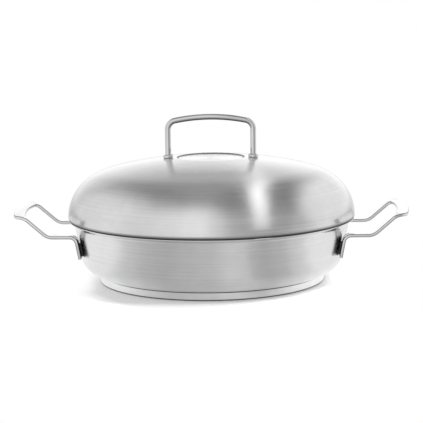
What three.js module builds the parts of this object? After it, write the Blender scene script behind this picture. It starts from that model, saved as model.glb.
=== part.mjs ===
import * as THREE from 'three';

// Round serving pan with a high domed lid.
// Millimetres, +Z up, origin at the centre of the base on the table, side handles along X.

// Bowl: one drawn sheet with a flared pouring rim
const PAN_RADIUS = 143.5;
const PAN_HEIGHT = 63.9;
const BOWL_SHEET = 1.0;
const CORNER_RADIUS = 22;
const WALL_LEAN = THREE.MathUtils.degToRad(10.5);
const LIP_REACH = 5.6;
const LIP_LEAN = THREE.MathUtils.degToRad(60);
const FLARE_RADIUS = 7;

// Capsule base: a heat-spreading disc inside a pressed cup
const BASE_HEIGHT = 8.5;
const BASE_OVERHANG = 2.5;
const CAP_SHEET = 0.8;
const CAP_INNER_BEND = 1.2;
const BRAZE_GAP = 0.3;

// Side handles: flat strap bent to a loop, both ends welded to the wall
const STRAP_WIDTH = 11.5;
const STRAP_THICKNESS = 3;
const STRAP_CHAMFER = 0.7;
const LIMB_OFFSET = 44;
const LIMB_SPREAD = 2;
const TAB_LENGTH = 21.9;
const TAB_BEND = 7;
const ARM_BELOW_RIM = 12.9;
const ARM_REACH = 16.3;
const RISE_RUN = 22.5;
const RISE_HEIGHT = 19.6;
const RISE_BEND = 14;
const GRIP_FLAT = 14.9;
const GRIP_CORNER = 9;
const GRIP_CROWN = 220;
const WELD_GAP = 0.3;

// Lid: one drawn sheet with a dished top, a ledge that rests inside the flared lip and a locating skirt
const LID_OVERHANG = 0.5;
const LID_SHEET = 0.9;
const LID_EDGE_INNER_BEND = 2.4;
const DOME_RISE = 60.3;
const DOME_SHOULDER = 48;
const RECESS_RADIUS = 34;
const RECESS_DEPTH = 1;
const RECESS_SLOPE_RUN = 2;
const RECESS_FLOOR_FILLET = 2;
const RECESS_LIP_INNER_BEND = 0.4;
const SKIRT_DEPTH = 5;
const SKIRT_FILLET = 1.2;
const SEAM_HEIGHT = 0.7;
const SEAT_SHARE = 0.6;
const SEAT_GAP = 0.3;
const LID_CLEARANCE = 0.8;

// Lid handle: bent rod standing in two collars beside the dished top
const BOW_RISE = 41.7;
const ROD_DIAMETER = 5.8;
const BOW_CORNER = 9.1;
const BOW_CROWN = 180;
const FOOT_MARGIN = 3.6;
const FOOT_GAP = 0.3;
const COLLAR_WALL = 1.8;
const COLLAR_HEIGHT = 3.4;
const COLLAR_FOOT_ROUND = 1.2;
const COLLAR_TOP_ROUND = 1.7;
const COLLAR_CLEARANCE = 0.3;

// Facets
const FACET_SAG = 0.12;
const ROUND_SEGMENTS = 60;
const STRAP_STEPS = 72;
const BOW_STEPS = 48;
const ROD_SIDES = 12;
const COLLAR_SEGMENTS = 16;

const SATIN_STEEL = { color: 0xb9bbbd, roughness: 0.38, metalness: 1 };
const POLISHED_STEEL = { color: 0xd2d4d6, roughness: 0.12, metalness: 1 };
const BARE_ALUMINIUM = { color: 0xc4c6c8, roughness: 0.5, metalness: 1 };

const corner = (x, y, fillet = 0) => ({ point: new THREE.Vector2(x, y), fillet });

// Joins corners by straight lines, with a tangent arc at each corner that has a fillet radius.
// Two fillets that share a line take at most half of it each.
function filletedPath(corners) {
  const path = new THREE.CurvePath();
  let from = corners[0].point;
  for (let i = 1; i < corners.length - 1; i++) {
    const { point, fillet } = corners[i];
    if (fillet === 0) {
      path.add(new THREE.LineCurve(from, point));
      from = point;
      continue;
    }
    const room = [corners[i - 1], corners[i + 1]].map((next) =>
      next.point.distanceTo(point) * (next.fillet > 0 ? 0.5 : 1));
    const back = corners[i - 1].point.clone().sub(point).normalize();
    const ahead = corners[i + 1].point.clone().sub(point).normalize();
    const half = Math.acos(back.dot(ahead)) / 2;
    const reach = Math.min(fillet / Math.tan(half), ...room);
    const radius = reach * Math.tan(half);
    const start = point.clone().addScaledVector(back, reach);
    const end = point.clone().addScaledVector(ahead, reach);
    const inward = back.clone().add(ahead).normalize();
    const centre = point.clone().addScaledVector(inward, radius / Math.sin(half));
    const startAngle = start.clone().sub(centre).angle();
    const endAngle = end.clone().sub(centre).angle();
    const clockwise = back.cross(ahead) > 0;
    path.add(new THREE.LineCurve(from, start));
    path.add(new THREE.EllipseCurve(centre.x, centre.y, radius, radius, startAngle, endAngle, clockwise));
    from = end;
  }
  path.add(new THREE.LineCurve(from, corners.at(-1).point));
  return path;
}

// Ends of the lines of a path, and points on its arcs that keep the facets within the sag.
function outlinePoints(path) {
  const samePoint = 1e-6;
  const points = [];
  for (const curve of path.curves) {
    let steps = 1;
    if (curve.isEllipseCurve) {
      const widestStep = 2 * Math.acos(1 - Math.min(FACET_SAG / curve.xRadius, 1));
      steps = Math.ceil(curve.getLength() / curve.xRadius / widestStep);
    }
    for (const point of curve.getPoints(steps)) {
      if (points.length === 0 || points.at(-1).distanceTo(point) > samePoint) points.push(point);
    }
  }
  return points;
}

// Moves an open outline sideways by a sheet thickness; positive is to the left of its direction.
function offsetOutline(points, distance) {
  const sides = points.slice(1).map((point, i) => {
    const along = point.clone().sub(points[i]).normalize();
    return new THREE.Vector2(-along.y, along.x);
  });
  return points.map((point, i) => {
    const before = sides[Math.max(i - 1, 0)];
    const after = sides[Math.min(i, sides.length - 1)];
    const mean = before.clone().add(after).normalize();
    return point.clone().addScaledVector(mean, distance / mean.dot(after));
  });
}

// Turns an outline of radius and height about the vertical axis.
function turned(points, segments = ROUND_SEGMENTS) {
  return new THREE.LatheGeometry(points, segments).rotateX(Math.PI / 2);
}

// Two straight legs joined by a crowned bar, in the plane of across and along.
function bowPath(halfSpan, foot, apex, cornerRadius, crownRadius) {
  const crownCentre = apex - crownRadius;
  const cornerAcross = halfSpan - cornerRadius;
  const cornerAlong = crownCentre + Math.sqrt((crownRadius - cornerRadius) ** 2 - cornerAcross ** 2);
  const turn = Math.atan2(cornerAlong - crownCentre, -cornerAcross);
  const leg = (across, start, end) =>
    new THREE.LineCurve(new THREE.Vector2(across, start), new THREE.Vector2(across, end));
  const arc = (across, along, radius, start, end) =>
    new THREE.EllipseCurve(across, along, radius, radius, start, end, true);
  const path = new THREE.CurvePath();
  path.add(leg(-halfSpan, foot, cornerAlong));
  path.add(arc(-cornerAcross, cornerAlong, cornerRadius, Math.PI, turn));
  path.add(arc(0, crownCentre, crownRadius, turn, Math.PI - turn));
  path.add(arc(cornerAcross, cornerAlong, cornerRadius, Math.PI - turn, 0));
  path.add(leg(halfSpan, cornerAlong, foot));
  return path;
}

// Bends a straight bar of the given section along a path; place puts each section point in space.
function bentBar(section, path, steps, place) {
  const length = path.getLength();
  const bar = new THREE.ExtrudeGeometry(section, { depth: length, steps, bevelEnabled: false });
  const position = bar.attributes.position;
  for (let i = 0; i < position.count; i++) {
    const share = Math.min(position.getZ(i) / length, 1);
    const centre = path.getPoint(share);
    const tangent = path.getTangent(share);
    const point = place(centre, tangent, position.getX(i), position.getY(i));
    position.setXYZ(i, point.x, point.y, point.z);
  }
  bar.computeVertexNormals();
  return bar;
}

function piece(name, geometry, finish) {
  const mesh = new THREE.Mesh(geometry, new THREE.MeshStandardMaterial(finish));
  mesh.name = name;
  return mesh;
}

// Outside of the bowl: the lip ends at the rim, and the wall runs down from the flare to the floor.
const lipEnd = PAN_HEIGHT - BOWL_SHEET * Math.sin(LIP_LEAN);
const flareRadius = PAN_RADIUS - LIP_REACH;
const flareHeight = lipEnd - LIP_REACH / Math.tan(LIP_LEAN);
const wallRadius = (z) => flareRadius - (flareHeight - z) * Math.tan(WALL_LEAN);
const floorEdge = wallRadius(BASE_HEIGHT);
const floorRadius = floorEdge - CORNER_RADIUS * Math.tan((Math.PI / 2 - WALL_LEAN) / 2);
const baseRadius = floorRadius + BASE_OVERHANG;

function bowl() {
  const outer = outlinePoints(filletedPath([
    corner(0, BASE_HEIGHT),
    corner(floorEdge, BASE_HEIGHT, CORNER_RADIUS),
    corner(flareRadius, flareHeight, FLARE_RADIUS),
    corner(PAN_RADIUS, lipEnd),
  ]));
  return turned([...outer, ...offsetOutline(outer, BOWL_SHEET).reverse()]);
}

function baseCap() {
  const outer = outlinePoints(filletedPath([
    corner(0, 0),
    corner(baseRadius, 0, CAP_INNER_BEND + CAP_SHEET),
    corner(baseRadius, BASE_HEIGHT - BRAZE_GAP),
  ]));
  return turned([...outer, ...offsetOutline(outer, CAP_SHEET).reverse()]);
}

function baseCore() {
  const radius = baseRadius - CAP_SHEET - BRAZE_GAP;
  const bottom = CAP_SHEET + BRAZE_GAP;
  const top = BASE_HEIGHT - BRAZE_GAP;
  return turned(outlinePoints(filletedPath([
    corner(0, bottom),
    corner(radius, bottom, Math.max(CAP_INNER_BEND - BRAZE_GAP, 0)),
    corner(radius, top),
    corner(0, top),
  ])));
}

// Flat strap with its edges broken, in the plane of width and thickness
function strapSection() {
  const side = STRAP_WIDTH / 2;
  const face = STRAP_THICKNESS / 2;
  const cut = STRAP_CHAMFER;
  return new THREE.Shape([
    new THREE.Vector2(cut - side, -face),
    new THREE.Vector2(side - cut, -face),
    new THREE.Vector2(side, cut - face),
    new THREE.Vector2(side, face - cut),
    new THREE.Vector2(side - cut, face),
    new THREE.Vector2(cut - side, face),
    new THREE.Vector2(-side, face - cut),
    new THREE.Vector2(-side, cut - face),
  ]);
}

// The strap starts as a flat loop and is folded over a side profile: weld tab, arm, rise and grip.
function sideHandle() {
  const spread = 1 + LIMB_SPREAD / LIMB_OFFSET;
  const weldOffset = spread * (LIMB_OFFSET - STRAP_WIDTH / 2);
  const tabReach = (z) => Math.sqrt(wallRadius(z) ** 2 - weldOffset ** 2) + WELD_GAP + STRAP_THICKNESS / 2;
  const arm = PAN_HEIGHT - ARM_BELOW_RIM;
  const tabFoot = arm - TAB_LENGTH;
  const grip = arm + RISE_HEIGHT;
  const riseStart = PAN_RADIUS + ARM_REACH;
  const riseEnd = riseStart + RISE_RUN;
  const profile = filletedPath([
    corner(tabReach(tabFoot), tabFoot),
    corner(tabReach(arm), arm, TAB_BEND),
    corner(riseStart, arm, RISE_BEND),
    corner(riseEnd, grip, RISE_BEND),
    corner(riseEnd + GRIP_FLAT, grip),
  ]);
  const unfolded = profile.getLength();
  const loop = bowPath(LIMB_OFFSET, 0, unfolded - STRAP_WIDTH / 2, GRIP_CORNER, GRIP_CROWN);

  // The limbs spread apart from the grip to the tabs, which stay flat and square to X and meet the
  // round wall along their inner edges, where they are welded.
  const fold = (along, across, height) => {
    const share = Math.min(along / unfolded, 1);
    const at = profile.getPoint(share);
    const tangent = profile.getTangent(share);
    return new THREE.Vector3(
      at.x - tangent.y * height,
      across * THREE.MathUtils.lerp(spread, 1, share),
      at.y + tangent.x * height,
    );
  };
  return bentBar(strapSection(), loop, STRAP_STEPS, (centre, tangent, side, height) =>
    fold(centre.y - tangent.x * side, centre.x + tangent.y * side, height));
}

// Dome of the lid: a shoulder arc that stands upright on the edge and a flat crown arc tangent to it
const lidRadius = PAN_RADIUS + LID_OVERHANG;
const edgeHeight = PAN_HEIGHT + SEAM_HEIGHT;
const shoulderCentre = lidRadius - DOME_SHOULDER;
const crownRadius =
  (shoulderCentre ** 2 + DOME_RISE ** 2 - DOME_SHOULDER ** 2) / (2 * (DOME_RISE - DOME_SHOULDER));
const crownCentre = edgeHeight + DOME_RISE - crownRadius;
const crownHeight = (radius) => crownCentre + Math.sqrt(crownRadius ** 2 - radius ** 2);

// Points of an arc, from its start angle clockwise to its end angle
function arcCorners(x, y, radius, start, end) {
  const path = new THREE.CurvePath();
  path.add(new THREE.EllipseCurve(x, y, radius, radius, start, end, true));
  return outlinePoints(path).map((point) => corner(point.x, point.y));
}

function lidDome() {
  const edge = LID_EDGE_INNER_BEND + LID_SHEET;
  const lip = RECESS_LIP_INNER_BEND + LID_SHEET;
  const lipHeight = crownHeight(RECESS_RADIUS);
  const recessFloor = lipHeight - RECESS_DEPTH;
  const seatInset = SEAT_SHARE * LIP_REACH;
  const seatDrop = (seatInset - BOWL_SHEET * Math.cos(LIP_LEAN)) / Math.tan(LIP_LEAN);
  const seatHeight = PAN_HEIGHT - seatDrop + SEAT_GAP / Math.sin(LIP_LEAN);
  const skirtFoot = seatHeight - SKIRT_DEPTH;
  const skirtRadius = wallRadius(skirtFoot) - BOWL_SHEET / Math.cos(WALL_LEAN) - LID_CLEARANCE;
  const crownStart = Math.acos((RECESS_RADIUS + 2 * lip) / crownRadius);
  const crownEnd = Math.acos(shoulderCentre / (crownRadius - DOME_SHOULDER));
  const shoulderEnd = Math.asin(2 * edge / DOME_SHOULDER);
  const outer = outlinePoints(filletedPath([
    corner(0, recessFloor),
    corner(RECESS_RADIUS - RECESS_SLOPE_RUN, recessFloor, RECESS_FLOOR_FILLET),
    corner(RECESS_RADIUS, lipHeight, lip),
    ...arcCorners(0, crownCentre, crownRadius, crownStart, crownEnd),
    ...arcCorners(shoulderCentre, edgeHeight, DOME_SHOULDER, crownEnd, shoulderEnd),
    corner(lidRadius, edgeHeight, edge),
    corner(PAN_RADIUS - seatInset, seatHeight, edge),
    corner(skirtRadius, seatHeight, SKIRT_FILLET),
    corner(skirtRadius, skirtFoot),
  ]));
  return turned([...offsetOutline(outer, -LID_SHEET), ...outer.reverse()]);
}

// The rod's feet stand just clear of the highest dome point under them, and the collars lean with the dome.
const collarBore = ROD_DIAMETER / 2 + COLLAR_CLEARANCE;
const collarRadius = collarBore + COLLAR_WALL;
const footOffset = RECESS_RADIUS + FOOT_MARGIN + collarRadius;
const footSlope = footOffset / Math.sqrt(crownRadius ** 2 - footOffset ** 2);

function lidHandle() {
  const rod = ROD_DIAMETER / 2;
  const apex = edgeHeight + DOME_RISE + BOW_RISE - rod;
  const section = new THREE.Shape();
  for (let i = 0; i < ROD_SIDES; i++) {
    const angle = 2 * Math.PI * i / ROD_SIDES;
    const step = i === 0 ? 'moveTo' : 'lineTo';
    section[step](rod * Math.cos(angle), rod * Math.sin(angle));
  }
  const foot = crownHeight(footOffset - rod) + FOOT_GAP;
  const path = bowPath(footOffset, foot, apex, BOW_CORNER, BOW_CROWN);
  return bentBar(section, path, BOW_STEPS, (centre, tangent, side, out) =>
    new THREE.Vector3(centre.x - tangent.y * out, side, centre.y + tangent.x * out));
}

// Flattened ball with a hole for the rod, slanted as the dome falls away to its side
function collar(side) {
  const ring = outlinePoints(filletedPath([
    corner(collarBore, 0),
    corner(collarRadius, 0, Math.min(COLLAR_FOOT_ROUND, COLLAR_WALL)),
    corner(collarRadius, COLLAR_HEIGHT, Math.min(COLLAR_TOP_ROUND, COLLAR_WALL)),
    corner(collarBore, COLLAR_HEIGHT),
  ]));
  const slant = new THREE.Matrix4().makeShear(0, -side * footSlope, 0, 0, 0, 0);
  return turned([...ring, ring[0].clone()], COLLAR_SEGMENTS).applyMatrix4(slant);
}

const pan = new THREE.Group();
pan.add(piece('pan_bowl', bowl(), SATIN_STEEL));
pan.add(piece('base_core', baseCore(), BARE_ALUMINIUM));
pan.add(piece('base_cap', baseCap(), POLISHED_STEEL));
pan.add(piece('right_handle', sideHandle(), POLISHED_STEEL));
const leftHandle = piece('left_handle', sideHandle(), POLISHED_STEEL);
leftHandle.rotation.z = Math.PI;
pan.add(leftHandle);

const lid = new THREE.Group();
lid.add(piece('lid_dome', lidDome(), SATIN_STEEL));
lid.add(piece('lid_handle', lidHandle(), POLISHED_STEEL));
for (const [name, side] of [['lid_handle_left_collar', -1], ['lid_handle_right_collar', 1]]) {
  const ring = piece(name, collar(side), POLISHED_STEEL);
  ring.position.set(side * footOffset, 0, crownHeight(footOffset) + FOOT_GAP);
  lid.add(ring);
}

const servingPan = new THREE.Group();
servingPan.add(pan, lid);

export default servingPan;
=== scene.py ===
import bpy
import numpy as np
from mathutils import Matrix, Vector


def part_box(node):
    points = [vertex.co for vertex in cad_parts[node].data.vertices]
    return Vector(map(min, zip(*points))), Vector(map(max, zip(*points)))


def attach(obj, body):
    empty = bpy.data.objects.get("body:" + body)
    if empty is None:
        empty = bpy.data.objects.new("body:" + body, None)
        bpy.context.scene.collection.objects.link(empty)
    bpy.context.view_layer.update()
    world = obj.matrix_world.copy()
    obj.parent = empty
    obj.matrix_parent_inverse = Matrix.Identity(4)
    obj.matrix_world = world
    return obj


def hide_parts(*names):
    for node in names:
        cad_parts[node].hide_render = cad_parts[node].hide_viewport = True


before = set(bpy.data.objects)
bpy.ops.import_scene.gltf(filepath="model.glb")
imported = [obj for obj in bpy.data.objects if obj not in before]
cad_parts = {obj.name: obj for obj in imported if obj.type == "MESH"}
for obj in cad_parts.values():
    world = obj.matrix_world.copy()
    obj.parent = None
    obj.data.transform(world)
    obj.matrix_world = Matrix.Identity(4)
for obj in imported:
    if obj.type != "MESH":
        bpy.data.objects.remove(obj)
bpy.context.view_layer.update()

# Base core.
# A disc of aluminium that spreads the heat, brazed between the bowl and its cap
# and sealed in there, so the solid of the frame stays and only gets its finish.


def feed(tree, made, inputs):
    """Each named input of a node set to a value, or linked from a socket."""
    for key, value in inputs.items():
        if isinstance(value, bpy.types.NodeSocket):
            tree.links.new(value, made.inputs[key])
        else:
            made.inputs[key].default_value = value


def node(tree, kind, inputs=(), **settings):
    """A new node of one kind with its settings and its inputs."""
    made = tree.nodes.new(kind)
    for key, value in settings.items():
        setattr(made, key, value)
    feed(tree, made, dict(inputs))
    return made


def bare_metal(name):
    """An empty node material with its output and one Principled BSDF of bare metal."""
    material = bpy.data.materials.new(name)
    material.use_nodes = True
    tree = material.node_tree
    tree.nodes.clear()
    shader = node(tree, "ShaderNodeBsdfPrincipled", {"Metallic": 1.0})
    node(tree, "ShaderNodeOutputMaterial", {"Surface": shader.outputs[0]})
    return material, tree, shader


def clouds(tree, scale, detail):
    """A cloudy value between 0 and 1 of a place on the piece, finer with its scale."""
    place = node(tree, "ShaderNodeTexCoord").outputs["Object"]
    inputs = {"Vector": place, "Scale": scale, "Detail": detail}
    return node(tree, "ShaderNodeTexNoise", inputs).outputs["Fac"]


def blend_value(tree, mask, first, second):
    """A value that runs in a straight line from the first to the second as a mask runs from 0 to 1."""
    inputs = {"Factor": mask, "A": first, "B": second}
    return node(tree, "ShaderNodeMix", inputs, data_type="FLOAT").outputs["Result"]


def blend_colour(tree, mask, first, second):
    """A colour that runs in a straight line from the first to the second as a mask runs from 0 to 1."""
    inputs = {"Factor": mask, "A": first, "B": second}
    return node(tree, "ShaderNodeMix", inputs, data_type="RGBA").outputs["Result"]


core_colours = (0.70, 0.71, 0.73, 1.0), (0.82, 0.83, 0.84, 1.0)
core_roughness = 0.35, 0.55
core_material, tree, shader = bare_metal("core_aluminium")
core_grain = clouds(tree, scale=420.0, detail=4.0)
core_finish = {
    "Base Color": blend_colour(tree, core_grain, *core_colours),
    "Roughness": blend_value(tree, core_grain, *core_roughness),
}
feed(tree, shader, core_finish)
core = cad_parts["base_core"]
core.data.materials.clear()
core.data.materials.append(core_material)

# Base cap.
# A shallow cup of stainless sheet pressed over the core and brazed to the bowl's
# floor, its band polished and turned, with a rounded edge above and below.


def rounded_line(corners, radii, arc_points=15):
    """A line through corners, each inner one swapped for an arc of its radius, tangent to both sides."""
    line = [corners[:1]]
    for before, at, after, radius in zip(corners, corners[1:], corners[2:], radii):
        back = (before - at) / np.linalg.norm(before - at)
        ahead = (after - at) / np.linalg.norm(after - at)
        half = np.arccos(back @ ahead) / 2
        middle = (back + ahead) / np.linalg.norm(back + ahead)
        side = (back - ahead) / np.linalg.norm(back - ahead)
        centre = at + middle * radius / np.sin(half)
        turn = np.linspace(1.0, -1.0, arc_points)[:, None] * (np.pi / 2 - half)
        line.append(centre + radius * (np.sin(turn) * side - np.cos(turn) * middle))
    return np.concatenate([*line, corners[-1:]])


def length_along(line):
    """The length of a line up to each of its points: the sum of the steps before it."""
    return np.concatenate([[0.0], np.cumsum(np.linalg.norm(np.diff(line, axis=0), axis=1))])


def filled_line(line, step, decimals=5):
    """The same line with points at every step of its length too, and those alike to some decimals merged."""
    length = length_along(line)
    places = np.unique(np.round(np.concatenate([length, np.arange(0.0, length[-1], step)]), decimals))
    return np.stack([np.interp(places, length, line[:, axis]) for axis in (0, 1)], axis=1)


def sheet_profile(line, sheet, edge_points=9):
    """The outline of a sheet to the left of a line that leaves the axis level.

    It is the line, a half-round edge at its end and the line offset by the sheet's thickness.
    """
    tangent = np.gradient(line, axis=0)
    tangent /= np.linalg.norm(tangent, axis=1)[:, None]
    tangent[0] = (1.0, 0.0)
    left = np.stack([-tangent[:, 1], tangent[:, 0]], axis=1)
    turn = np.linspace(-np.pi / 2, np.pi / 2, edge_points)[1:-1, None]
    edge_centre = line[-1] + left[-1] * sheet / 2
    edge = edge_centre + sheet / 2 * (np.cos(turn) * tangent[-1] + np.sin(turn) * left[-1])
    return np.concatenate([line, edge, (line + left * sheet)[::-1]])


def skin(name, rings, ends=()):
    """A closed surface over rings of points, each ring closed on itself.

    Two end points close the first and the last ring with fans. Without them the last ring
    joins the first. Where the faces enclose less than nothing, all of them are turned over.
    """
    rows, columns = rings.shape[:2]
    index = np.arange(rows * columns).reshape(rows, columns)
    if not len(ends):
        index = np.concatenate([index, index[:1]])
    after = np.roll(index, -1, axis=1)
    quads = np.stack([index[:-1], after[:-1], after[1:], index[1:]], axis=-1).reshape(-1, 4)
    points = rings.reshape(-1, 3)
    fans = np.empty((0, 3), int)
    if len(ends):
        first, last = np.full(columns, len(points)), np.full(columns, len(points) + 1)
        first_fan = np.stack([after[0], index[0], first], axis=-1)
        last_fan = np.stack([index[-1], after[-1], last], axis=-1)
        fans = np.concatenate([first_fan, last_fan])
        points = np.concatenate([points, ends])
    a, b, c, d = (points[quads[:, corner]] for corner in range(4))
    normals = np.cross(b - a, c - a) + np.cross(c - a, d - a)
    if np.einsum("ij,ij->", a - points[0], normals) < 0:
        quads, fans = quads[:, ::-1], fans[:, ::-1]
    mesh = bpy.data.meshes.new(name)
    mesh.from_pydata(points.tolist(), [], quads.tolist() + fans.tolist())
    mesh.polygons.foreach_set("use_smooth", np.ones(len(mesh.polygons), bool))
    mesh.update()
    piece = bpy.data.objects.new(name, mesh)
    bpy.context.scene.collection.objects.link(piece)
    return piece


def whole_turn(steps):
    """The angles of one whole turn in even steps, from 0 up to the last before the turn is full."""
    return np.linspace(0.0, 2 * np.pi, steps, endpoint=False)


def turned(name, profile, segments=180):
    """The surface swept by an outline of radius and height, from axis back to axis, turned once round Z."""
    angle = whole_turn(segments)
    radius, height = profile[1:-1, :1], profile[1:-1, 1:]
    rings = np.stack([radius * np.cos(angle), radius * np.sin(angle), height + 0 * angle], axis=-1)
    return skin(name, rings, [(0.0, 0.0, profile[0, 1]), (0.0, 0.0, profile[-1, 1])])


def reckon(tree, operation, *values):
    """The result of one operation on values or sockets."""
    return node(tree, "ShaderNodeMath", dict(enumerate(values)), operation=operation).outputs[0]


def ramp(tree, value, start, end, low=0.0, high=1.0, **settings):
    """A value mapped so that start gives low and end gives high, straight between and level past them."""
    inputs = {"Value": value, "From Min": start, "From Max": end, "To Min": low, "To Max": high}
    return node(tree, "ShaderNodeMapRange", inputs, **settings).outputs["Result"]


def from_axis(tree):
    """A place on the piece as its radius from the Z axis, its height and its flat offset from that axis."""
    place = node(tree, "ShaderNodeTexCoord").outputs["Object"]
    parts = node(tree, "ShaderNodeSeparateXYZ", {0: place}).outputs
    flat = node(tree, "ShaderNodeCombineXYZ", {"X": parts["X"], "Y": parts["Y"]}).outputs[0]
    radius = node(tree, "ShaderNodeVectorMath", {0: flat}, operation="LENGTH").outputs["Value"]
    return {"radius": radius, "height": parts["Z"], "flat": flat}


def mask_group(name, inputs):
    """A shader node group with named values as inputs and a mask as output, and its nodes for both."""
    group = bpy.data.node_groups.new(name, "ShaderNodeTree")
    group.interface.new_socket("Mask", in_out="OUTPUT", socket_type="NodeSocketFloat")
    for key, value in inputs.items():
        socket = group.interface.new_socket(key, in_out="INPUT", socket_type="NodeSocketFloat")
        socket.default_value = value
    return group, group.nodes.new("NodeGroupInput").outputs, group.nodes.new("NodeGroupOutput")


def group_mask(tree, group):
    """The mask of a node group that is placed in a material."""
    return node(tree, "ShaderNodeGroup", node_tree=group).outputs["Mask"]


# Fingering and wiping leave soft cloudy marks on bright metal, finer ones inside broad ones.
smudge_group, given, leave = mask_group("smudges", {"Broad Scale": 16.0, "Fine Scale": 95.0})
broad = clouds(smudge_group, given["Broad Scale"], detail=3.0)
fine = clouds(smudge_group, given["Fine Scale"], detail=5.0)
cloudy = reckon(smudge_group, "MULTIPLY", broad, fine)
feed(smudge_group, leave, {"Mask": ramp(smudge_group, cloudy, 0.12, 0.42)})

# Turning on a lathe leaves fine lines that run round the axis and differ with radius and height.
grain_group, given, leave = mask_group("turned_grain", {"Lines per Metre": 780.0})
spot = from_axis(grain_group)
outward = node(grain_group, "ShaderNodeVectorMath", {0: spot["flat"]}, operation="NORMALIZE").outputs[0]
outward_parts = node(grain_group, "ShaderNodeSeparateXYZ", {0: outward}).outputs
across_lines = {
    "X": reckon(grain_group, "MULTIPLY", spot["radius"], given["Lines per Metre"]),
    "Y": reckon(grain_group, "MULTIPLY", spot["height"], given["Lines per Metre"]),
    "Z": outward_parts["X"],
}
line_noise = {
    "Vector": node(grain_group, "ShaderNodeCombineXYZ", across_lines).outputs[0],
    "W": outward_parts["Y"],
    "Scale": 1.0,
    "Detail": 4.0,
    "Roughness": 0.7,
}
lines = node(grain_group, "ShaderNodeTexNoise", line_noise, noise_dimensions="4D").outputs["Fac"]
feed(grain_group, leave, {"Mask": ramp(grain_group, lines, 0.3, 0.7)})


def brush_in_rings(tree, shader, relief, streak, strength):
    """Reflections drawn out across rings round Z by a streak, and the rings' lines raised by a relief."""
    line_depth, quarter_turn = 0.0002, 0.25
    bump = {"Height": relief, "Strength": strength, "Distance": line_depth}
    brushing = {
        "Anisotropic": streak,
        "Anisotropic Rotation": quarter_turn,
        "Tangent": node(tree, "ShaderNodeTangent", direction_type="RADIAL", axis="Z").outputs[0],
        "Normal": node(tree, "ShaderNodeBump", bump).outputs[0],
    }
    feed(tree, shader, brushing)


def grey(tone):
    """A colour of one tone."""
    return (tone, tone, tone, 1.0)


# Painted shade darkens a thin line round the band's foot, where it meets the table, and another along its
# upper edge, in the shadowed gap under the bowl's corner.
base_radius, base_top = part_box("base_cap")[1][0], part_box("base_cap")[1][2]
band_colours = (0.80, 0.80, 0.81, 1.0), grey(0.86)
band_roughness, band_streak, band_relief = (0.10, 0.22), 0.6, 0.08
band_shade_colour, band_shade_roughness = grey(0.02), 0.9
foot_shade_full, foot_shade_top, foot_shade_reach, foot_shade_fade = 0.0009, 0.0018, 0.0018, 0.0008
gap_shade_height, gap_shade_fade = 0.0007, 0.0005
band_material, tree, shader = bare_metal("polished_band")
grain, smudge = group_mask(tree, grain_group), group_mask(tree, smudge_group)
spot = from_axis(tree)
near_foot = ramp(tree, spot["height"], foot_shade_top, foot_shade_full)
foot_shade_radius = base_radius - foot_shade_reach
near_side = ramp(tree, spot["radius"], foot_shade_radius - foot_shade_fade, foot_shade_radius)
foot_shade = reckon(tree, "MULTIPLY", near_foot, near_side)
gap_shade_foot = base_top - gap_shade_height
gap_shade = ramp(tree, spot["height"], gap_shade_foot, gap_shade_foot + gap_shade_fade)
band_shade = reckon(tree, "MAXIMUM", foot_shade, gap_shade)
band_steel = blend_colour(tree, smudge, *band_colours)
band_finish = {
    "Base Color": blend_colour(tree, band_shade, band_steel, band_shade_colour),
    "Metallic": blend_value(tree, band_shade, 1.0, 0.0),
    "Roughness": blend_value(tree, band_shade, blend_value(tree, grain, *band_roughness), band_shade_roughness),
}
feed(tree, shader, band_finish)
brush_in_rings(tree, shader, grain, band_streak, band_relief)

cap_sheet, cap_bend, wall_step = 0.0008, 0.002, 0.0015
cap_corners = np.array([(0.0, 0.0), (base_radius, 0.0), (base_radius, base_top - cap_sheet / 2)])
cap_line = filled_line(rounded_line(cap_corners, [cap_bend]), wall_step)
cap = turned("base_cap_visual", sheet_profile(cap_line, cap_sheet))
cap.data.materials.append(band_material)
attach(cap, "pan")
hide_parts("base_cap")

# Pan bowl.
# Stainless sheet deep-drawn in one piece: a round corner, a wall that leans out
# and a polished flared lip. The wall is brushed in rings round the axis.
bowl_colours, smudge_share = ((0.69, 0.69, 0.70, 1.0), grey(0.80)), 0.35
bowl_roughness, lip_roughness, bowl_streak, bowl_relief = (0.18, 0.26), 0.10, 0.5, 0.12
lip_foot, lip_full = 0.0592, 0.0602
bowl_material, tree, shader = bare_metal("satin_bowl")
grain, smudge = group_mask(tree, grain_group), group_mask(tree, smudge_group)
spot = from_axis(tree)
lip = ramp(tree, spot["height"], lip_foot, lip_full)
worn = blend_value(tree, smudge_share, grain, smudge)
bowl_finish = {
    "Base Color": blend_colour(tree, worn, *bowl_colours),
    "Roughness": blend_value(tree, lip, blend_value(tree, grain, *bowl_roughness), lip_roughness),
}
feed(tree, shader, bowl_finish)
wall_grain = reckon(tree, "MULTIPLY", grain, reckon(tree, "SUBTRACT", 1.0, lip))
brush_in_rings(tree, shader, wall_grain, bowl_streak, bowl_relief)

rim_radius, rim_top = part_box("pan_bowl")[1][0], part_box("pan_bowl")[1][2]
bowl_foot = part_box("pan_bowl")[0][2]
bowl_sheet, corner_radius, flare_radius = 0.001, 0.022, 0.007
wall_lean, lip_lean, lip_reach = np.radians(10.5), np.radians(60.0), 0.0056
lip_end = rim_top - bowl_sheet * np.sin(lip_lean)
flare_height = lip_end - lip_reach / np.tan(lip_lean)


def wall_radius(height):
    """The radius of the wall's outside at a height: where the flare starts, less the lean below that."""
    return rim_radius - lip_reach - (flare_height - height) * np.tan(wall_lean)


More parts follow.
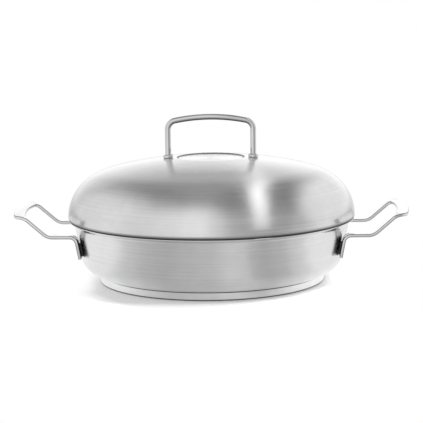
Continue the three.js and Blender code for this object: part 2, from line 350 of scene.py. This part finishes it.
edge_back = bowl_sheet / 2 * np.array([np.sin(lip_lean), np.cos(lip_lean)])
bowl_corners = np.array(
    [
        (0.0, bowl_foot),
        (wall_radius(bowl_foot), bowl_foot),
        (wall_radius(flare_height), flare_height),
        np.array([rim_radius, lip_end]) - edge_back,
    ]
)
bowl_line = filled_line(rounded_line(bowl_corners, [corner_radius, flare_radius]), wall_step)
bowl = turned("pan_bowl_visual", sheet_profile(bowl_line, bowl_sheet))
bowl.data.materials.append(bowl_material)
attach(bowl, "pan")
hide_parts("pan_bowl")

# Side handles.
# A loop of flat stainless bar on each side, its grip raised and its two ends bent down
# into flat tabs, welded to the round wall along their inner edges. Polished, edges eased.
bar_colours, bar_roughness = ((0.76, 0.76, 0.77, 1.0), grey(0.81)), (0.08, 0.18)
# Painted shade on the tabs' faces towards the wall, and a painted dark reflection on the bar's eased edges.
edge_reflection_colour, tab_shade_colour, tab_shade_roughness = grey(0.09), grey(0.03), 0.5
tab_shade_start, tab_shade_full = 0.62, 0.92
handle_material, tree, shader = bare_metal("polished_bar")
smudge = group_mask(tree, smudge_group)
edge_reflection = node(tree, "ShaderNodeAttribute", attribute_name="edge_dark_reflection").outputs["Fac"]
tab_gap_shade_value = node(tree, "ShaderNodeAttribute", attribute_name="tab_gap_shade").outputs["Fac"]
tab_shade = ramp(tree, tab_gap_shade_value, tab_shade_start, tab_shade_full)
bar_steel = blend_colour(tree, edge_reflection, blend_colour(tree, smudge, *bar_colours), edge_reflection_colour)
scratches = {"Height": clouds(tree, scale=600.0, detail=3.0), "Strength": 0.04, "Distance": 0.0001}
bar_finish = {
    "Base Color": blend_colour(tree, tab_shade, bar_steel, tab_shade_colour),
    "Roughness": blend_value(tree, tab_shade, blend_value(tree, smudge, *bar_roughness), tab_shade_roughness),
    "Normal": node(tree, "ShaderNodeBump", scratches).outputs[0],
}
feed(tree, shader, bar_finish)

grip_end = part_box("right_handle")[1][0]
strap_width, strap_thickness, strap_edge, strap_end = 0.0115, 0.003, 0.0006, 0.0008
limb_offset, tab_offset = 0.044, 0.046
tab_length, tab_bend, arm_below_rim, weld_gap = 0.0219, 0.007, 0.0129, 0.0003
rise_height, rise_run, rise_bend, grip_flat = 0.0196, 0.0225, 0.014, 0.0149
grip_corner, grip_crown = 0.009, 0.220
arm_height = rim_top - arm_below_rim
tab_foot = arm_height - tab_length
tab_spread = tab_offset / limb_offset
weld_offset = tab_spread * (limb_offset - strap_width / 2)


def bow_path(half_span, apex, corner_radius, crown_radius, leg_points=60, corner_points=20, crown_points=60):
    """A bow in a plane, as points of along and across.

    Two straight legs start at along 0, and two corner arcs join them to a crown arc that touches
    the apex. All of them are tangent where they meet.
    """
    crown_centre = apex - crown_radius
    corner_across = half_span - corner_radius
    corner_along = crown_centre + np.sqrt((crown_radius - corner_radius) ** 2 - corner_across**2)
    lean = np.arcsin(corner_across / (crown_radius - corner_radius))
    leg = np.stack([np.linspace(0.0, corner_along, leg_points), np.full(leg_points, half_span)], axis=1)
    turn = np.linspace(np.pi / 2, lean, corner_points)[1:]
    corner = np.stack([np.cos(turn), np.sin(turn)], axis=1) * corner_radius + (corner_along, corner_across)
    sweep = np.linspace(lean, -lean, crown_points)[1:]
    crown = np.stack([np.cos(sweep), np.sin(sweep)], axis=1) * crown_radius + (crown_centre, 0.0)
    mirror = np.array([1.0, -1.0])
    return np.concatenate([leg, corner, crown, (corner * mirror)[-2::-1], (leg * mirror)[::-1]])


def unit_tangents(path):
    """Unit directions along a line of points."""
    ahead = np.gradient(path, axis=0)
    return ahead / np.linalg.norm(ahead, axis=1)[:, None]


def unit_sideways(path):
    """Unit directions across a flat line of points: those along it, turned by a right angle."""
    ahead = unit_tangents(path)
    return np.stack([ahead[:, 1], -ahead[:, 0]], axis=1)


def tab_reach(height):
    """How far out along X the middle of a tab lies at a height: just off the wall at the tab's inner edge."""
    return np.sqrt(wall_radius(height) ** 2 - weld_offset**2) + weld_gap + strap_thickness / 2


side_corners = np.array(
    [
        (tab_reach(tab_foot), tab_foot),
        (tab_reach(arm_height), arm_height),
        (grip_end - grip_flat - rise_run, arm_height),
        (grip_end - grip_flat, arm_height + rise_height),
        (grip_end, arm_height + rise_height),
    ]
)
side_line = rounded_line(side_corners, [tab_bend, rise_bend, rise_bend], arc_points=40)
side_length = length_along(side_line)
side_angle = np.unwrap(np.arctan2(*unit_tangents(side_line).T[::-1]))


def folded(along, across, height):
    """A point of the flat bar taken to its place.

    It goes along the bent side line, off that line by its height, and apart towards the tabs.
    """
    bent = (side_line[:, 0], side_line[:, 1], side_angle)
    x, z, angle = (np.interp(along, side_length, values) for values in bent)
    y = across * (tab_spread + (1.0 - tab_spread) * along / side_length[-1])
    return np.stack([x - np.sin(angle) * height, y, z + np.cos(angle) * height], axis=-1)


def bar_section(width, thickness, edge, arc_points=6):
    """A rectangle with rounded corners as points of across and height, in order round it."""
    turn = np.linspace(0.0, np.pi / 2, arc_points)
    centre = (width / 2 - edge, thickness / 2 - edge)
    quarter = np.stack([np.cos(turn), np.sin(turn)], axis=1) * edge + centre
    half = np.concatenate([quarter, (quarter * (-1.0, 1.0))[::-1]])
    return np.concatenate([half, -half])


def point_values(piece, name, values):
    """An attribute of a piece: one value for each point of its rings, and 0 at its two end points."""
    filled = np.concatenate([values.reshape(-1), (0.0, 0.0)]).astype(np.float32)
    piece.data.attributes.new(name, "FLOAT", "POINT").data.foreach_set("value", filled)


# The flat loop of the bar, its section drawn in at both ends by a quarter round.
loop = bow_path(limb_offset, side_length[-1] - strap_width / 2, grip_corner, grip_crown, leg_points=90)
loop_aside = unit_sideways(loop)
end_steps = np.array([0.0, 0.15, 0.4, 0.7])
end_path = loop[0] + unit_tangents(loop)[0] * strap_end * end_steps[:, None]
end_inset = strap_end * (1.0 - np.sqrt(1.0 - (1.0 - end_steps) ** 2))
kept = loop[:, 0] > strap_end
path = np.concatenate([end_path, loop[kept], (end_path * (1.0, -1.0))[::-1]])
end_asides = [np.repeat(loop_aside[[end]], len(end_steps), axis=0) for end in (0, -1)]
path_aside = np.concatenate([end_asides[0], loop_aside[kept], end_asides[1]])
inset = np.concatenate([end_inset, np.zeros(kept.sum()), end_inset[::-1]])[:, None]
section = bar_section(strap_width, strap_thickness, strap_edge)
wide = section[:, 0] - np.sign(section[:, 0]) * inset
tall = section[:, 1] - np.sign(section[:, 1]) * inset
along = path[:, :1] + path_aside[:, :1] * wide
across = path[:, 1:] + path_aside[:, 1:] * wide
right_rings = folded(along, across, tall)
right_ends = folded(*np.array([(0.0, limb_offset, 0.0), (0.0, -limb_offset, 0.0)]).T)

# Painted shade darkens the tabs' faces towards the wall, where they stand in the shadowed gap at the weld,
# and a painted dark reflection darkens the eased edges.
tab_shade_length, tab_shade_face, edge_share = 0.006, 0.0004, 0.7
past_tab = np.clip((along - tab_length) / tab_shade_length, 0.0, 1.0)
inner_side = np.clip((limb_offset + strap_width / 2 - np.abs(across)) / strap_width, 0.0, 1.0)
tab_gap_shade = np.where(tall > strap_thickness / 2 - tab_shade_face, inner_side * (1.0 - past_tab), 0.0)
flat_half = np.array([strap_width, strap_thickness]) / 2 - edge_share * strap_edge
# The rounded corners of the bar's section, which get a painted dark reflection.
edge_dark_reflection = np.tile(np.all(np.abs(section) > flat_half, axis=1), len(path))
for name, side in (("right_handle", 1.0), ("left_handle", np.array([-1.0, -1.0, 1.0]))):
    handle = skin(name + "_visual", right_rings * side, right_ends * side)
    handle.data.materials.append(handle_material)
    point_values(handle, "tab_gap_shade", tab_gap_shade)
    point_values(handle, "edge_dark_reflection", edge_dark_reflection)
    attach(handle, "pan")
    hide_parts(name)

# Weld beads.
# A run of weld metal down the inner edge of each tab, where it meets the round wall.
# Left as laid: dull, dark with heat and uneven.
bead_colours, bead_roughness = (grey(0.06), (0.22, 0.21, 0.20, 1.0)), (0.4, 0.6)
bead_material, tree, shader = bare_metal("weld_bead")
spatter = clouds(tree, scale=700.0, detail=3.0)
bead_finish = {
    "Base Color": blend_colour(tree, spatter, *bead_colours),
    "Roughness": blend_value(tree, spatter, *bead_roughness),
}
feed(tree, shader, bead_finish)

bead_radius, bead_margin, bead_points, bead_sides = 0.0009, 0.0015, 60, 16
ripple_share, ripple_length = 0.12, 0.0007
end_power, end_least = 16, 0.04
bead_heights = np.linspace(tab_foot + bead_margin, arm_height - tab_bend, bead_points)
bead_reach = tab_reach(bead_heights) - strap_thickness / 2 - weld_gap / 2
bead_turn = whole_turn(bead_sides)
taper = np.sqrt(np.clip(1.0 - np.linspace(-1.0, 1.0, bead_points) ** end_power, end_least, 1.0))
bead_radii = bead_radius * taper * (1.0 + ripple_share * np.sin(bead_heights / ripple_length))
bead_rings = np.stack(
    [
        bead_reach[:, None] + bead_radii[:, None] * np.cos(bead_turn),
        weld_offset + bead_radii[:, None] * np.sin(bead_turn),
        bead_heights[:, None] + 0 * bead_turn,
    ],
    axis=-1,
)
bead_ends = np.stack([bead_reach[[0, -1]], np.full(2, weld_offset), bead_heights[[0, -1]]], axis=-1)
for name, x_side in (("right_handle", 1.0), ("left_handle", -1.0)):
    for end, y_side in (("front", -1.0), ("rear", 1.0)):
        mirror = (x_side, y_side, 1.0)
        bead = skin(f"{name}_{end}_weld", bead_rings * mirror, bead_ends * mirror)
        bead.data.materials.append(bead_material)
        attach(bead, "pan")
        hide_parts(name)

# Lid.
# One sheet of stainless drawn into a high dome, brushed in rings round the axis,
# with a shallow round recess on top and an edge turned in to rest inside the pan's lip.
lid_colours, lid_shade_colour = ((0.68, 0.68, 0.69, 1.0), grey(0.81)), grey(0.03)
lid_roughness, lid_shade_roughness, lid_streak, lid_relief = (0.18, 0.26), 0.6, 0.5, 0.10
# Painted shade darkens the lid's turned-in edge, where the seam with the pan's lip lies in shadow.
lid_edge_shade_top, lid_edge_shade_full, lid_edge_shade_foot, lid_edge_shade_fade, lid_edge_shade_depth = 0.0676, 0.0648, 0.0638, 0.0005, 0.88
# Painted shade darkens a thin ring round the recess's rim, where its wall lies in shade.
recess_ring_shade_radius, recess_ring_shade_reach, recess_ring_shade_depth = 0.0331, 0.0016, 0.85
lid_material, tree, shader = bare_metal("satin_lid")
grain, smudge = group_mask(tree, grain_group), group_mask(tree, smudge_group)
spot = from_axis(tree)
below_top = ramp(tree, spot["height"], lid_edge_shade_top, lid_edge_shade_full, high=lid_edge_shade_depth)
above_foot = ramp(tree, spot["height"], lid_edge_shade_foot - lid_edge_shade_fade, lid_edge_shade_foot)
lid_edge_shade = reckon(tree, "MULTIPLY", below_top, above_foot)
off_recess_ring_shade = reckon(tree, "ABSOLUTE", reckon(tree, "SUBTRACT", spot["radius"], recess_ring_shade_radius))
recess_ring_shade = ramp(tree, off_recess_ring_shade, recess_ring_shade_reach, 0.0, high=recess_ring_shade_depth)
lid_shade = reckon(tree, "MAXIMUM", lid_edge_shade, recess_ring_shade)
worn = blend_value(tree, smudge_share, grain, smudge)
lid_finish = {
    "Base Color": blend_colour(tree, lid_shade, blend_colour(tree, worn, *lid_colours), lid_shade_colour),
    "Roughness": blend_value(tree, lid_shade, blend_value(tree, grain, *lid_roughness), lid_shade_roughness),
}
feed(tree, shader, lid_finish)
brush_in_rings(tree, shader, grain, lid_streak, lid_relief)

lid_radius, skirt_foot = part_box("lid_dome")[1][0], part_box("lid_dome")[0][2]
lid_sheet, seam_height, dome_rise, shoulder_radius = 0.0009, 0.0007, 0.0603, 0.048
recess_radius, recess_depth, recess_slope = 0.034, 0.001, 0.002
recess_fillet, recess_lip, blend_length = 0.002, 0.0013, 0.036
edge_bend, skirt_fillet, lid_clearance, skirt_depth = 0.0033, 0.0012, 0.0008, 0.005
seat_share, lid_step, dome_points = 0.6, 0.003, 100
edge_height, seat_height = rim_top + seam_height, skirt_foot + skirt_depth
seat_radius = rim_radius - seat_share * lip_reach
skirt_radius = wall_radius(skirt_foot) - bowl_sheet / np.cos(wall_lean) - lid_clearance
shoulder_centre = lid_radius - shoulder_radius
crown_radius = (shoulder_centre**2 + dome_rise**2 - shoulder_radius**2) / (2 * (dome_rise - shoulder_radius))
crown_centre = edge_height + dome_rise - crown_radius
recess_top = crown_centre + np.sqrt(crown_radius**2 - recess_radius**2)
recess_floor = recess_top - recess_depth


def swept(length, bend, lean):
    """A line of radius and height whose downward lean grows along its length by the bend at each point."""
    step = length / (len(bend) - 1)
    lean = lean + step * (np.cumsum(bend) - (bend + bend[0]) / 2)
    ahead = np.stack([np.cos(lean), -np.sin(lean)], axis=1)
    return step * (np.cumsum(ahead, axis=0) - (ahead + ahead[0]) / 2)


# The dome's bend grows smoothly from the crown's to the shoulder's, between the ends of those two arcs.
crown_lean = np.arcsin((recess_radius + 2 * recess_lip) / crown_radius)
join_lean = np.arcsin(shoulder_centre / (crown_radius - shoulder_radius))
foot_lean = np.arccos(2 * edge_bend / shoulder_radius)
crown_length = crown_radius * (join_lean - crown_lean)
dome_length = crown_length + shoulder_radius * (foot_lean - join_lean)
share = np.clip((np.linspace(0.0, dome_length, dome_points) - crown_length) / blend_length + 0.5, 0.0, 1.0)
dome_bend = 1 / crown_radius + (1 / shoulder_radius - 1 / crown_radius) * share**2 * (3 - 2 * share)
dome = swept(dome_length, dome_bend, crown_lean)
dome_top = np.array([crown_radius * np.sin(crown_lean), crown_centre + crown_radius * np.cos(crown_lean)])
dome_foot = np.array([shoulder_centre + shoulder_radius * np.sin(foot_lean), edge_height + 2 * edge_bend])
dome = dome_top + dome * (dome_foot - dome_top) / dome[-1]
recess_corners = np.array(
    [
        (0.0, recess_floor),
        (recess_radius - recess_slope, recess_floor),
        (recess_radius, recess_top),
        dome[0],
    ]
)
foot_corners = np.array(
    [
        dome[-1],
        (lid_radius, edge_height),
        (seat_radius, seat_height),
        (skirt_radius, seat_height),
        (skirt_radius, skirt_foot + lid_sheet / 2),
    ]
)
recess_line = rounded_line(recess_corners, [recess_fillet, recess_lip])
foot_line = rounded_line(foot_corners, [edge_bend, edge_bend, skirt_fillet])
lid_line = filled_line(np.concatenate([recess_line[:-1], dome, foot_line[1:]]), lid_step)
upside_down = np.array([1.0, -1.0])
lid = turned("lid_dome_visual", sheet_profile(lid_line * upside_down, lid_sheet) * upside_down)
lid.data.materials.append(lid_material)
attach(lid, "lid")
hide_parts("lid_dome")

# Lid handle.
# A bow of round stainless rod, bent cold with tight corners and polished, its two
# feet welded to the dome beside the recess, each inside a turned collar.
rod_colours, underside_shade_colour = ((0.64, 0.64, 0.65, 1.0), grey(0.72)), grey(0.20)
rod_roughness, rod_tint, underside_shade_spread = (0.05, 0.12), grey(0.8), 0.3
rod_material, tree, shader = bare_metal("polished_rod")
smudge = group_mask(tree, smudge_group)
# Painted shade darkens the rod's underside.
underside_shade = node(tree, "ShaderNodeAttribute", attribute_name="rod_underside_shade").outputs["Fac"]
rod_finish = {
    "Base Color": blend_colour(tree, underside_shade, blend_colour(tree, smudge, *rod_colours), underside_shade_colour),
    "Roughness": blend_value(tree, smudge, *rod_roughness),
    "Specular Tint": rod_tint,
}
feed(tree, shader, rod_finish)

rod_radius, rod_sides, bow_corner, bow_crown = 0.0029, 32, 0.0091, 0.180
bow_top, foot_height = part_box("lid_handle")[1][2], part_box("lid_handle")[0][2]
foot_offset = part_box("lid_handle")[1][0] - rod_radius
bow = bow_path(foot_offset, bow_top - rod_radius - foot_height, bow_corner, bow_crown)
bow_aside = unit_sideways(bow)
rod_turn = whole_turn(rod_sides)
rod_reach = rod_radius * np.cos(rod_turn)
rod_rings = np.stack(
    [
        bow[:, 1:] + bow_aside[:, 1:] * rod_reach,
        0 * bow[:, 1:] + rod_radius * np.sin(rod_turn),
        foot_height + bow[:, :1] + bow_aside[:, :1] * rod_reach,
    ],
    axis=-1,
)
rod_ends = [(foot_offset, 0.0, foot_height), (-foot_offset, 0.0, foot_height)]
rod = skin("lid_handle_visual", rod_rings, rod_ends)
rod.data.materials.append(rod_material)
# How much painted shade each point of the rod gets: most on its underside.
upward = bow_aside[:, :1]
point_values(rod, "rod_underside_shade", np.clip(underside_shade_spread * np.abs(upward) - upward * np.cos(rod_turn), 0.0, 1.0))
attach(rod, "lid")
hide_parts("lid_handle")

# Handle collars.
# A small turned ring of stainless round each foot of the lid handle, rounded over at the
# top and cut aslant to sit on the dome, which hides the weld.
collar_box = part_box("lid_handle_right_collar")
collar_radius = (collar_box[1][1] - collar_box[0][1]) / 2
collar_bore, collar_height, collar_gap, collar_sides = 0.0032, 0.0034, 0.0001, 64
collar_round, collar_foot_round, bore_round = 0.0015, 0.0008, 0.0002
dome_slope = foot_offset / np.sqrt(crown_radius**2 - foot_offset**2)
collar_foot = crown_centre + foot_offset / dome_slope + collar_gap
collar_corners = np.array(
    [
        (collar_bore, 0.0),
        (collar_radius, 0.0),
        (collar_radius, collar_height),
        (collar_bore, collar_height),
        (collar_bore, collar_round),
    ]
)
collar_line = rounded_line(collar_corners, [collar_foot_round, collar_round, bore_round])
collar_turn = whole_turn(collar_sides)
collar_out = collar_line[:, :1] * np.cos(collar_turn)
collar_back = collar_line[:, :1] * np.sin(collar_turn)
collar_up = collar_foot + collar_line[:, 1:] - dome_slope * collar_out
for name, side in (("lid_handle_right_collar", 1.0), ("lid_handle_left_collar", -1.0)):
    collar_rings = np.stack([side * (foot_offset + collar_out), collar_back, collar_up], axis=-1)
    collar = skin(name + "_visual", collar_rings)
    collar.data.materials.append(rod_material)
    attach(collar, "lid")
    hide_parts(name)

# Floor.
# A white table top that takes the pan's soft shadow. To the camera it fades to plain white past a soft box
# round the pan's foot.
# In the steel it shows as a painted glow, lighter at the sides than in front, with no shadow.
floor_reach = 0.45
floor_corners = [(-1, -1), (1, -1), (1, 1), (-1, 1)]
floor_points = [(floor_reach * x, floor_reach * y, 0.0) for x, y in floor_corners]
floor_mesh = bpy.data.meshes.new("floor")
floor_mesh.from_pydata(floor_points, [], [(0, 1, 2, 3)])
floor = bpy.data.objects.new("floor", floor_mesh)
bpy.context.scene.collection.objects.link(floor)


def bearing_tones(tree, direction, tones):
    """A grey that follows the bearing of a direction: degrees from the front, growing to the right."""
    parts = node(tree, "ShaderNodeSeparateXYZ", {0: direction}).outputs
    forward = reckon(tree, "MULTIPLY", parts["Y"], -1.0)
    bearing = reckon(tree, "ARCTAN2", parts["X"], forward)
    tone_node = node(tree, "ShaderNodeValToRGB", {"Fac": ramp(tree, bearing, -np.pi, np.pi)})
    stops = tone_node.color_ramp.elements
    tone_node.color_ramp.interpolation = "EASE"
    for degrees, tone in tones:
        stops.new((degrees + 180) / 360).color = grey(tone)
    stops[0].color = stops[1].color
    stops[-1].color = stops[-2].color
    return tone_node.outputs["Color"]


floor_tone, floor_glow = grey(0.85), 0.17
fade_ends = {"X": (0.104, 0.134), "Y": (0.112, 0.160)}
near_reach, far_reach = 0.13, 0.165
near_tones = [
    *((-170, 0.9), (-85, 0.95), (-70, 0.96), (-57, 0.90), (-41, 0.73), (-30, 0.61), (-20, 0.54), (0, 0.56)),
    *((12, 0.65), (18, 0.66), (31, 0.60), (40, 0.70), (49, 0.83), (62, 1.0), (75, 1.06), (170, 0.9)),
]
far_tones = [
    *((-170, 0.9), (-85, 1.0), (-66, 0.97), (-50, 0.68), (-36, 0.56), (-24, 0.51), (-12, 0.56), (0, 0.60)),
    *((13, 0.72), (20, 0.70), (26, 0.54), (33, 0.48), (44, 0.55), (54, 0.72), (71, 1.0), (170, 0.9)),
]
floor_material = bpy.data.materials.new("floor")
floor_material.use_nodes = True
tree = floor_material.node_tree
tree.nodes.clear()
place = node(tree, "ShaderNodeTexCoord").outputs["Object"]
off_centre = node(tree, "ShaderNodeVectorMath", {0: place}, operation="ABSOLUTE").outputs[0]
off_parts = node(tree, "ShaderNodeSeparateXYZ", {0: off_centre}).outputs
fades = [
    ramp(tree, off_parts[axis], start, end, interpolation_type="SMOOTHSTEP")
    for axis, (start, end) in fade_ends.items()
]
outside = reckon(tree, "MAXIMUM", *fades)
cloth = node(tree, "ShaderNodeBsdfDiffuse", {"Color": floor_tone}).outputs[0]
glow = node(tree, "ShaderNodeEmission", {"Strength": floor_glow}).outputs[0]
white = node(tree, "ShaderNodeEmission").outputs[0]
shadowed = node(tree, "ShaderNodeAddShader", {0: cloth, 1: glow}).outputs[0]
seen = node(tree, "ShaderNodeMixShader", {0: outside, 1: shadowed, 2: white}).outputs[0]
away = node(tree, "ShaderNodeVectorMath", {0: place}, operation="LENGTH").outputs["Value"]
# The painted glow that the steel sees, toned by bearing, one set of tones near the pan and another farther
# out.
near_tone, far_tone = (bearing_tones(tree, place, tones) for tones in (near_tones, far_tones))
mirrored_tone = blend_colour(tree, ramp(tree, away, near_reach, far_reach), near_tone, far_tone)
mirrored = node(tree, "ShaderNodeEmission", {"Color": mirrored_tone}).outputs[0]
camera_ray = node(tree, "ShaderNodeLightPath").outputs["Is Camera Ray"]
floor_look = node(tree, "ShaderNodeMixShader", {0: camera_ray, 1: mirrored, 2: seen}).outputs[0]
node(tree, "ShaderNodeOutputMaterial", {"Surface": floor_look})
floor.data.materials.append(floor_material)

# Studio.
# White walls round the table with a grey stretch to the right of the camera and a dimmed back,
# a grey ceiling panel and one long strip of light across it. The camera itself sees plain white.
studio = bpy.data.worlds.new("studio")
bpy.context.scene.world = studio
studio.use_nodes = True
tree = studio.node_tree
tree.nodes.clear()
direction = node(tree, "ShaderNodeTexCoord").outputs["Generated"]
direction_parts = node(tree, "ShaderNodeSeparateXYZ", {0: direction}).outputs


def facing(tree, direction, aim, start, full):
    """How much a direction lies along an aim: 0 up to a dot product, 1 from another on, smooth between."""
    dot = node(tree, "ShaderNodeVectorMath", {0: direction, 1: aim}, operation="DOT_PRODUCT").outputs["Value"]
    return ramp(tree, dot, start, full, interpolation_type="SMOOTHSTEP")


def patch(tree, direction, edges):
    """How much a direction lies in a patch of the studio: the product of how far it is past each edge."""
    inside = 1.0
    for edge in edges.values():
        inside = reckon(tree, "MULTIPLY", inside, facing(tree, direction, *edge))
    return inside


# The walls by their bearing, and the back one dimmer high up, beside its middle and along its foot.
wall_tones = [
    *((-170, 1.25), (-158, 1.0), (-142, 0.77), (-125, 0.85), (-85, 0.9), (-60, 0.82), (-33, 0.9)),
    *((-14, 1.0), (-3, 1.0), (4, 0.8), (20, 0.5), (32, 0.45), (50, 0.42), (62, 0.43), (76, 0.58)),
    *((98, 0.90), (125, 0.94), (150, 1.05), (170, 1.25)),
]
behind = ramp(tree, direction_parts["Y"], 0.60, 0.85)
off_middle = reckon(tree, "ABSOLUTE", direction_parts["X"])
high_dimming = ramp(tree, direction_parts["Z"], 0.15, 0.42, high=0.18)
side_dimming = ramp(tree, direction_parts["Z"], 0.06, 0.22, high=0.15)
foot_dimming = ramp(tree, direction_parts["Z"], 0.06, -0.03, high=0.3)
beside = ramp(tree, off_middle, 0.04, 0.14)
inward = ramp(tree, off_middle, 0.36, 0.20, low=0.4)
upper_dimming = reckon(tree, "MULTIPLY_ADD", beside, side_dimming, high_dimming)
upper_dimming = reckon(tree, "MULTIPLY", upper_dimming, inward)
dimming = reckon(tree, "MULTIPLY", behind, reckon(tree, "MAXIMUM", upper_dimming, foot_dimming))
walls = blend_colour(tree, dimming, bearing_tones(tree, direction, wall_tones), grey(0.0))

# The ceiling panel, darker towards both sides, most of all to the right.
panel_edges = {
    "back": ((0.0, -0.5, 0.866), -0.30, 0.25),
    "front": ((0.2, 0.6, 0.8), 0.0, 0.85),
    "left": ((1.0, -0.25, 0.0), -0.90, -0.40),
    "right": ((0.84, 0.537, -0.076), 0.72, 0.53),
}
panel_middle, panel_left, panel_right = grey(0.37), grey(0.30), grey(0.24)
leftward = facing(tree, direction, (-1.0, 0.0, 0.0), 0.10, 0.28)
rightward = facing(tree, direction, (1.0, 0.0, 0.0), -0.05, 0.2)
panel_tone = blend_colour(tree, leftward, panel_middle, panel_left)
panel_tone = blend_colour(tree, rightward, panel_tone, panel_right)
room = blend_colour(tree, patch(tree, direction, panel_edges), walls, panel_tone)

# The strip of light, brightest overhead and gone near the table.
strip_edges = {
    "left": ((1.0, 0.31, 0.0), 0.303, 0.339),
    "right": ((1.0, 0.43, 0.0), 0.495, 0.425),
    "far": ((1.0, 0.9, 0.0), 0.90, 0.78),
}
strip_low, strip_high = 0.52, 1.62
overhead = facing(tree, direction, (0.0, 0.7, 0.714), -0.40, 1.00)
above_table = ramp(tree, direction_parts["Z"], 0.05, 0.25)
strip = reckon(tree, "MULTIPLY", patch(tree, direction, strip_edges), above_table)
strip = reckon(tree, "MULTIPLY", strip, blend_value(tree, overhead, strip_low, strip_high))
room = node(tree, "ShaderNodeVectorMath", {0: room, 1: strip}, operation="ADD").outputs[0]
camera_ray = node(tree, "ShaderNodeLightPath").outputs["Is Camera Ray"]
surroundings = blend_colour(tree, camera_ray, room, grey(1.0))
background = node(tree, "ShaderNodeBackground", {"Color": surroundings}).outputs[0]
node(tree, "ShaderNodeOutputWorld", {"Surface": background})

# Lamps.
# Two soft lamps high over the table, one behind on the left and one a little in front on the
# right, so that only the table under the pan's overhang is in shadow. The steel doesn't show them.
lamp_size = 0.7
for name, lamp_place, energy in (("left", (-0.32, 0.50, 1.15), 18.0), ("right", (0.62, -0.15, 1.10), 16.0)):
    lamp_data = bpy.data.lights.new(name, "AREA")
    lamp_data.size = lamp_size
    lamp_data.energy = energy
    lamp = bpy.data.objects.new(name, lamp_data)
    lamp.location = lamp_place
    lamp.rotation_euler = (-lamp.location).to_track_quat("-Z", "Y").to_euler()
    lamp.visible_glossy = False
    bpy.context.scene.collection.objects.link(lamp)

# Camera.
# A long lens from higher than the lid's handle, a touch to the right of the front, tilted
# down and rolled slightly, as the photograph was taken.
camera_distance, camera_height = 1.600, 0.3234
camera_bearing, camera_pitch, camera_roll = np.radians(2.2), np.radians(9.07), np.radians(-0.80)
camera_data = bpy.data.cameras.new("camera")
camera_data.sensor_width = 36.0
camera_data.lens = 136.98
camera = bpy.data.objects.new("camera", camera_data)
camera_x, camera_y = camera_distance * np.sin(camera_bearing), -camera_distance * np.cos(camera_bearing)
camera.location = (camera_x, camera_y, camera_height)
camera.rotation_mode = "XYZ"
camera.rotation_euler = (np.pi / 2 - camera_pitch, 0.0, camera_bearing)
camera.rotation_euler.rotate_axis("Z", camera_roll)
bpy.context.scene.collection.objects.link(camera)
bpy.context.scene.camera = camera
bpy.context.scene.view_settings.view_transform = "Standard"
